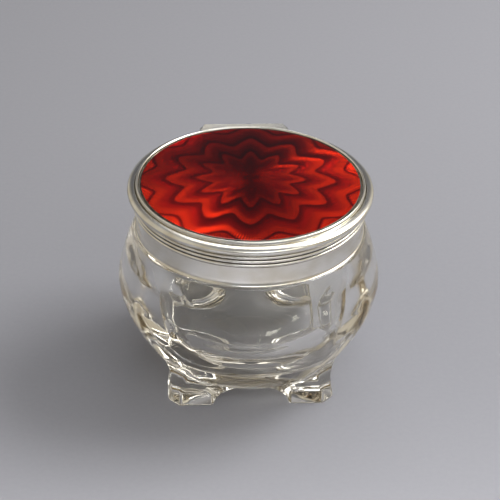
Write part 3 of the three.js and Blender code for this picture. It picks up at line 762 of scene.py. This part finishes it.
class JAR_OT_glass(bpy.types.Operator):
    """Builds the fluted glass body on its four bracket feet"""

    bl_idname = "jar.glass"
    bl_label = "Glass Body"

    def execute(self, context):
        glass = context.scene.jar.glass
        step = glass.grid_step / MM
        margin = 2.3 * step
        lowest, highest = (np.array(corner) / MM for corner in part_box("glass_jar"))
        points, faces, normals = field_mesh(glass_field(glass), lowest - margin,
                                            highest + margin, step)
        points = np.clip(points, lowest, highest)
        piece = add_piece("cut_glass_body", points * MM, faces, lead_glass(), "jar",
                          ["glass_jar"], crease=0)
        piece.data.normals_split_custom_set_from_vertices(normals.tolist())
        return {"FINISHED"}


class JAR_OT_plaster(bpy.types.Operator):
    """Builds the plaster ring that beds the collar on the neck"""

    bl_idname = "jar.plaster"
    bl_label = "Neck Plaster"

    def execute(self, context):
        lowest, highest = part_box("neck_plaster")
        clear_of_neck, softness = 0.3 * MM, 0.15 * MM
        inner, outer = context.scene.jar.glass.neck_radius + clear_of_neck, highest.x
        outline = [(inner, lowest.z), (outer, lowest.z), (outer, highest.z), (inner, highest.z)]
        points, faces = spin(soften(outline, softness))
        add_piece("plaster_bedding", points, faces, setting_plaster(), "jar",
                  ["neck_plaster"])
        return {"FINISHED"}


class JAR_OT_collar(bpy.types.Operator):
    """Builds the collar's plain band, its reeds and the mouth bezel"""

    bl_idname = "jar.collar"
    bl_label = "Silver Collar"

    def execute(self, context):
        silver = context.scene.jar.silver
        inner = silver.collar_inner
        outer = inner + silver.collar_wall

        lip = arc((outer + silver.lip_flare, SHOULDER_Z + silver.lip_height),
                  (silver.lip_flare, silver.lip_height), -QUARTER, -math.pi)
        turn_out = COLLAR_RADIUS - outer
        crown = arc((COLLAR_RADIUS, BAND_TOP_Z - turn_out), (turn_out, turn_out), math.pi,
                    QUARTER)
        outline = [(inner, SHOULDER_Z), *lip, *crown, (inner, BAND_TOP_Z)]
        points, faces = spin(soften(outline, silver.worn_edge))
        add_piece("collar_plain_band", points, faces, polished_silver(), "jar",
                  ["collar_band"])

        pitch = (NECK_TOP_Z - BAND_TOP_Z) / silver.reeds
        outline = [(inner, BAND_TOP_Z)]
        for reed in range(silver.reeds):
            centre = (REED_RADIUS - silver.reed_bulge, BAND_TOP_Z + pitch * (reed + 0.5))
            outline += arc(centre, (silver.reed_bulge, (pitch - silver.reed_groove) / 2),
                           -QUARTER, QUARTER)
        outline.append((inner, NECK_TOP_Z))
        points, faces = spin(outline)
        reeds = add_piece("collar_reeds", points, faces, polished_silver(), "jar",
                          ["reeded_moulding"], crease=50)
        # The reeds' grooves take the nearly black finish: tarnish, and painted shade in their depths
        shaded_share = 0.8
        groove = REED_RADIUS - silver.reed_bulge * shaded_share
        paint_shade_dark(reeds, lambda radius, z: radius < groove)

        # The mouth is handled most, so its edges are softer; its outer part, over 3 mm out from the
        # bezel, is painted nearly black as shade under the lid
        softer, unshaded_width = 1.5, 3 * MM
        bezel, bezel_inner = silver.bezel_radius, silver.bezel_radius - silver.bezel_wall
        mouth = context.scene.jar.glass.mouth_radius
        outline = [(mouth, NECK_TOP_Z), (COLLAR_RADIUS, NECK_TOP_Z),
                   (COLLAR_RADIUS, SHELF_TOP_Z), (bezel, SHELF_TOP_Z), (bezel, BEZEL_TOP_Z),
                   (bezel_inner, BEZEL_TOP_Z), (bezel_inner, SHELF_TOP_Z), (mouth, SHELF_TOP_Z)]
        points, faces = spin(soften(outline, silver.worn_edge * softer))
        ring = add_piece("mouth_ring", points, faces, polished_silver(), "jar",
                         ["mouth_bezel"])
        paint_shade_dark(ring, lambda radius, z: radius > bezel + unshaded_width)
        return {"FINISHED"}


class JAR_OT_lid(bpy.types.Operator):
    """Builds the lid's rolled rim, the bead round the enamel and the gilt lining"""

    bl_idname = "jar.lid"
    bl_label = "Silver Lid"

    def execute(self, context):
        silver = context.scene.jar.silver
        top_radius = LID_RADIUS - silver.roll_width
        seat = BEAD_RADIUS - silver.bead_width
        roll_z = LID_Z + silver.roll_level
        inner = silver.rim_inner
        edge = inner - silver.ledge
        ledge_z = PLATE_Z - silver.ledge_thickness

        # The bead stands in a fine step; the dark line round it is painted shade, laid on the step
        # below
        step, step_z = BEAD_RADIUS + 0.12 * MM, RIM_TOP_Z - 0.3 * MM
        under = arc((LID_RADIUS - silver.roll_undercut, roll_z),
                    (silver.roll_undercut, silver.roll_level), -QUARTER, 0)
        over = arc((top_radius, roll_z), (silver.roll_width, RIM_TOP_Z - roll_z), 0, QUARTER)
        outline = [(inner, LID_Z), *under, *over[1:], (step, step_z), (seat, step_z),
                   (seat, PLATE_Z), (edge, PLATE_Z), (edge, ledge_z), (inner, ledge_z)]
        points, faces = spin(soften(outline, silver.worn_edge), LID_SEGMENTS)
        # The back is cut flat for the hinge leaf, with a little room at the leaf's ends
        room = 0.3 * MM
        cut = (points[:, 1] > top_radius) & (points[:, 2] > low("lid_hinge_plate").z - TINY)
        cut &= np.abs(points[:, 0]) < high("lid_hinge_plate").x + room
        points[cut, 1] = top_radius
        rim = add_piece("lid_rolled_rim", points, faces, polished_silver(), "lid",
                        ["lid_rim"])
        # Painted shade: the roll's underside and the step round the bead take the nearly black finish
        underside, rolled_in = LID_Z + 0.12 * MM, LID_RADIUS - silver.roll_width / 2
        step_in, step_out = BEAD_RADIUS - 0.4 * MM, BEAD_RADIUS + 0.25 * MM
        paint_shade_dark(rim, lambda radius, z: (
            z < underside and radius > rolled_in) or (z > PLATE_Z and step_in < radius < step_out))

        half = silver.bead_width / 2
        outline = arc((seat + half, RIM_TOP_Z), (half, high("enamel_bezel").z - RIM_TOP_Z), 0,
                      math.pi, 20)
        points, faces = spin(outline, LID_SEGMENTS)
        add_piece("lid_bead", points, faces, polished_silver(), "lid",
                  ["enamel_bezel"], crease=60)

        flange, base = high("lid_lining").x, low("lid_lining").z
        rise = high("lid_lining").z - ledge_z
        radii = np.linspace(0, edge, 24)
        outline = [*dome(radii, base, rise, edge), (flange, base), (flange, ledge_z),
                   *dome(radii[::-1], ledge_z, rise, edge)]
        points, faces = spin(outline)
        add_piece("lid_gilt_lining", points, faces, gilt_silver(), "lid",
                  ["lid_lining"])
        return {"FINISHED"}


class JAR_OT_enamel(bpy.types.Operator):
    """Builds the engine-turned plate and the red enamel over it"""

    bl_idname = "jar.enamel"
    bl_label = "Enamel"

    def execute(self, context):
        pattern = context.scene.jar.enamel
        flat_border, fade_width = 1 * MM, 2 * MM
        plate_rings, under_rings, crown_rings = 61, 24, 50
        edge = ENAMEL_RADIUS - flat_border
        rise = high("guilloche_plate").z - ENAMEL_Z

        radii = np.linspace(0, edge, plate_rings)
        outline = [*dome(radii, PLATE_Z, rise, edge), (ENAMEL_RADIUS, PLATE_Z),
                   (ENAMEL_RADIUS, ENAMEL_Z), *dome(radii[::-1], ENAMEL_Z, rise, edge)]
        points, faces = spin(outline, LID_SEGMENTS)
        # The upper side is sunk in zigzags like those of the finish, and fades out at the edge
        r = np.hypot(points[:, 0], points[:, 1])
        turn = np.arctan2(points[:, 1], points[:, 0]) - pattern.turn
        wave = np.arcsin(pattern.sharpness * np.cos(pattern.petals * turn))
        wave *= pattern.ring_wave / math.asin(pattern.sharpness)
        wave *= np.clip(r / pattern.star_radius, 0, 1)
        depth = np.mod((r - wave - pattern.ring_radius) / pattern.ring_spacing, 1)
        sink = pattern.relief * (1 - depth) * np.clip((edge - r) / fade_width, 0, 1)
        middle = PLATE_Z + (ENAMEL_Z - PLATE_Z) / 2 + rise * (1 - (r / edge) ** 2)
        top = points[:, 2] > middle
        points[top, 2] -= sink[top]
        add_piece("engine_turned_plate", points, faces, polished_silver(), "lid",
                  ["guilloche_plate"], crease=0)

        # The enamel stands on the plate's flat border, and its upper edge is rounded over
        clear_of_plate, rounding, shaded_edge_width = 0.3 * MM, 0.35 * MM, 0.3 * MM
        top_z = DOME_TOP_Z - rise
        top_edge = ENAMEL_RADIUS - rounding
        under = dome(np.linspace(0, edge, under_rings), ENAMEL_Z + clear_of_plate, rise, edge)
        shoulder = arc((top_edge, top_z - rounding), (rounding, rounding), 0, QUARTER, 5)
        crown = dome(np.linspace(0, top_edge, crown_rings)[::-1], top_z, rise, top_edge)
        outline = [*under, (edge, ENAMEL_Z), (ENAMEL_RADIUS, ENAMEL_Z), *shoulder, *crown[1:]]
        points, faces = spin(outline, LID_SEGMENTS)
        disc = add_piece("red_enamel_disc", points, faces, red_enamel(), "lid",
                         ["enamel_disc"])
        # Painted shadow: the enamel's outer edge takes the nearly black finish, as a dark line in the
        # gap at the bead
        paint_shade_dark(disc, lambda radius, z: radius > ENAMEL_RADIUS - shaded_edge_width)
        return {"FINISHED"}


def bar(outline, start_x, end_x, hole=None, segments=32):
    """A bar along X with a given section in Y and Z, and a round hole if one is given."""
    mesh = bmesh.new()
    sections = [outline]
    if hole:
        (y0, z0), radius = hole
        turn = [2 * math.pi * i / segments for i in range(segments)]
        sections.append([(y0 + radius * math.cos(a), z0 + radius * math.sin(a)) for a in turn])
    loops = []
    for section in sections:
        ring = [mesh.verts.new((start_x, y, z)) for y, z in section]
        loops += [mesh.edges.new((ring[i - 1], ring[i])) for i in range(len(ring))]
    bmesh.ops.triangle_fill(mesh, edges=loops, use_beauty=True, use_dissolve=True)
    made = bmesh.ops.extrude_face_region(mesh, geom=mesh.faces[:])
    moved = [v for v in made["geom"] if isinstance(v, bmesh.types.BMVert)]
    bmesh.ops.translate(mesh, verts=moved, vec=(end_x - start_x, 0, 0))
    bmesh.ops.recalc_face_normals(mesh, faces=mesh.faces[:])
    return mesh


def add_bar(name, outline, body, node, hole=None, bevel=0.12 * MM, cant=0.0):
    """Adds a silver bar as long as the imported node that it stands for, its long edges and end edges
    softened by wear. A cant draws in the ends of its hindmost edges."""
    mesh = bar(outline, low(node).x, high(node).x, hole)
    back = max(y for y, z in outline)
    for vert in mesh.verts:
        if cant and vert.co.y > back - bevel:
            vert.co.x -= math.copysign(cant, vert.co.x)
    corner = math.radians(40)
    sharp = [e for e in mesh.edges if e.is_manifold and e.calc_face_angle(0) > corner]
    bmesh.ops.bevel(mesh, geom=sharp, offset=bevel, segments=2, profile=0.6, affect="EDGES")
    data = bpy.data.meshes.new(name)
    mesh.to_mesh(data)
    mesh.free()
    piece = add_mesh(name, data, polished_silver(), body, [node], crease=38)
    # Each flat face reflects as a flat one right up to its worn edges
    piece.modifiers.new("flat_faces", "WEIGHTED_NORMAL").keep_sharp = True


class JAR_OT_hinge(bpy.types.Operator):
    """Builds the five-knuckle hinge, its pin and its two plates"""

    bl_idname = "jar.hinge"
    bl_label = "Hinge"

    def execute(self, context):
        silver = context.scene.jar.silver
        pin, radius = (PIN_Y, PIN_Z), silver.barrel_radius
        # A knuckle is square where it joins its plate: below on the collar, above on the lid
        for mount, body, sides, start, end, square_z in (
                ("collar", "jar", ("left", "centre", "right"), -QUARTER, math.pi, PIN_Z - radius),
                ("lid", "lid", ("left", "right"), -math.pi, QUARTER, PIN_Z + radius)):
            outline = arc(pin, (radius, radius), start, end, 30)
            outline.append((PIN_Y - radius, square_z))
            for side in sides:
                add_bar(f"hinge_barrel_{mount}_{side}", outline, body, f"{mount}_knuckle_{side}",
                        hole=(pin, silver.bore_radius))

        pin_radius = (high("hinge_pin").y - low("hinge_pin").y) / 2
        outline = arc(pin, (pin_radius, pin_radius), 0, 2 * math.pi, 32)[:-1]
        add_bar("hinge_pin_rod", outline, "jar", "hinge_pin", bevel=0.15 * MM)

        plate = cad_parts["collar_hinge_plate"]
        plate.data.materials.clear()
        plate.data.materials.append(polished_silver())
        worn = plate.modifiers.new("worn_edges", "BEVEL")
        worn.width = silver.worn_edge
        worn.segments = 2

        # The lid's leaf lies over the knuckles, clear of the collar's
        leaf_z = low("lid_hinge_plate").z
        front, step = LID_RADIUS - silver.roll_width, high("lid_hinge_plate").y - silver.leaf_gap
        under = PIN_Z + radius + silver.leaf_gap
        top = under + silver.leaf_thickness
        front_top = top - silver.leaf_fall
        outline = [(front, leaf_z), (step, leaf_z), (step, under), (PIN_Y, under), (PIN_Y, top),
                   (PIN_Y - silver.leaf_slope, front_top), (front, front_top)]
        add_bar("hinge_leaf_lid", outline, "lid", "lid_hinge_plate", cant=silver.leaf_cant)
        return {"FINISHED"}


def studio_world():
    """A room with grey walls, pale and warm at the left and right, and darker high up behind the
    table."""
    world = bpy.data.worlds.new("studio")
    world.use_nodes = True
    tree = world.node_tree
    # Y is 1 straight behind the table, Z is 1 overhead, and X is 1 at the right
    direction = put(tree, "TexCoord").outputs["Generated"]
    parts = put(tree, "SeparateXYZ", {"Vector": direction}).outputs
    behind = put(tree, "MapRange", {"Value": parts["Y"], "From Min": 0.5, "From Max": 0.8},
                 interpolation_type="SMOOTHSTEP")
    above = put(tree, "MapRange", {"Value": parts["Z"], "From Min": 0.14, "From Max": 0.3},
                interpolation_type="SMOOTHSTEP")
    dim = put(tree, "Math", {0: behind, 1: above}, operation="MULTIPLY")
    aside = put(tree, "Math", {0: parts["X"], 1: 0.05}, operation="SUBTRACT")
    aside = put(tree, "Math", {0: aside}, operation="ABSOLUTE")
    aside = put(tree, "MapRange", {"Value": aside, "From Min": 0.3, "From Max": 0.62},
                interpolation_type="SMOOTHSTEP")
    back = put(tree, "MixRGB", {"Fac": dim, 1: "#8c8e92", 2: "#525257"})
    walls = put(tree, "MixRGB", {"Fac": aside, 1: back, 2: "#c2bcb0"})
    feed(tree, tree.nodes["Background"], {"Color": walls})
    return world


def add_softbox(name, place, aim, size, power, spread):
    """Adds a rectangular soft lamp at a place, aimed at a point; its grid narrows the beam to the
    spread in degrees."""
    lamp = bpy.data.lights.new(name, "AREA")
    lamp.shape = "RECTANGLE"
    lamp.size, lamp.size_y = size
    lamp.energy = power
    lamp.spread = math.radians(spread)
    holder = bpy.data.objects.new(name, lamp)
    holder.location = place
    toward = Vector(aim) - Vector(place)
    holder.rotation_euler = toward.to_track_quat("-Z", "Y").to_euler()
    bpy.context.scene.collection.objects.link(holder)


def add_sweep():
    """Adds the round sheet of paper, a hair below the feet and wide enough for any view."""
    floor, radii, segments = -0.1 * MM, (0.05, 0.1, 0.2, 0.4, 0.8, 1.6, 3.2, 6.0), 96
    turn = np.arange(segments) * (2 * math.pi / segments)
    points = [(0.0, 0.0, floor)]
    points += [(r * math.cos(a), r * math.sin(a), floor) for r in radii for a in turn]
    sides = [(i, (i + 1) % segments) for i in range(segments)]
    faces = [(0, 1 + i, 1 + j) for i, j in sides]
    for ring in range(len(radii) - 1):
        near, far = 1 + ring * segments, 1 + (ring + 1) * segments
        faces += [(near + i, far + i, far + j, near + j) for i, j in sides]
    mesh = bpy.data.meshes.new("paper_sweep")
    mesh.from_pydata(points, [], faces)
    mesh.shade_smooth()
    mesh.materials.append(matt_paper())
    sweep = bpy.data.objects.new("paper_sweep", mesh)
    bpy.context.scene.collection.objects.link(sweep)


def add_camera(stage):
    """Adds the camera, which looks down at the aim point from the front."""
    camera = bpy.data.cameras.new("camera")
    camera.lens = stage.lens
    camera.sensor_width = 36.0
    camera.clip_start, camera.clip_end = 0.01, 20.0
    holder = bpy.data.objects.new("camera", camera)
    swing, elevation = stage.swing, stage.elevation
    right = Vector((math.cos(swing), -math.sin(swing), 0))
    aim = right * stage.aim_side + Vector((0, 0, stage.aim_height))
    back = Vector((-math.sin(swing) * math.cos(elevation),
                   -math.cos(swing) * math.cos(elevation), math.sin(elevation)))
    turned = (-back).to_track_quat("-Z", "Y").to_matrix().to_4x4()
    holder.matrix_world = (Matrix.Translation(aim + back * stage.distance) @ turned
                           @ Matrix.Rotation(stage.roll, 4, "Z"))
    bpy.context.scene.collection.objects.link(holder)
    bpy.context.scene.camera = holder


class JAR_OT_stage(bpy.types.Operator):
    """Builds the paper sweep, the soft lamps, the world and the camera"""

    bl_idname = "jar.stage"
    bl_label = "Stage"

    def execute(self, context):
        scene = context.scene
        scene.view_settings.view_transform = "Standard"
        # Light that runs round inside the glass needs many turns before it comes out
        turns = 128
        scene.cycles.max_bounces = turns
        scene.cycles.transmission_bounces = turns
        scene.cycles.glossy_bounces = turns
        add_sweep()
        scene.world = studio_world()
        for softbox in SOFTBOXES:
            add_softbox(*softbox)
        add_camera(scene.jar.stage)
        return {"FINISHED"}


OPERATORS = (JAR_OT_glass, JAR_OT_plaster, JAR_OT_collar, JAR_OT_lid, JAR_OT_enamel, JAR_OT_hinge,
             JAR_OT_stage)


class JAR_PT_panel(bpy.types.Panel):
    """Buttons that build each group of pieces, and the jar's settings"""

    bl_idname = "JAR_PT_panel"
    bl_label = "Jar"
    bl_space_type = "VIEW_3D"
    bl_region_type = "UI"
    bl_category = "Jar"

    def draw(self, context):
        for operator in OPERATORS:
            self.layout.operator(operator.bl_idname)
        for group in JarSettings.__annotations__:
            box = self.layout.box()
            box.label(text=group.capitalize())
            settings = getattr(context.scene.jar, group)
            for name in type(settings).__annotations__:
                box.prop(settings, name)


CLASSES = (GlassSizes, SilverSizes, EnamelPattern, FinishColours, StageSettings, JarSettings,
           *OPERATORS, JAR_PT_panel)


def register():
    for item in CLASSES:
        bpy.utils.register_class(item)
    bpy.types.Scene.jar = PointerProperty(type=JarSettings)


def unregister():
    del bpy.types.Scene.jar
    for item in reversed(CLASSES):
        bpy.utils.unregister_class(item)


def main():
    register()
    bpy.ops.jar.glass()
    bpy.ops.jar.plaster()
    bpy.ops.jar.collar()
    bpy.ops.jar.lid()
    bpy.ops.jar.enamel()
    bpy.ops.jar.hinge()
    bpy.ops.jar.stage()


if __name__ == "__main__":
    main()
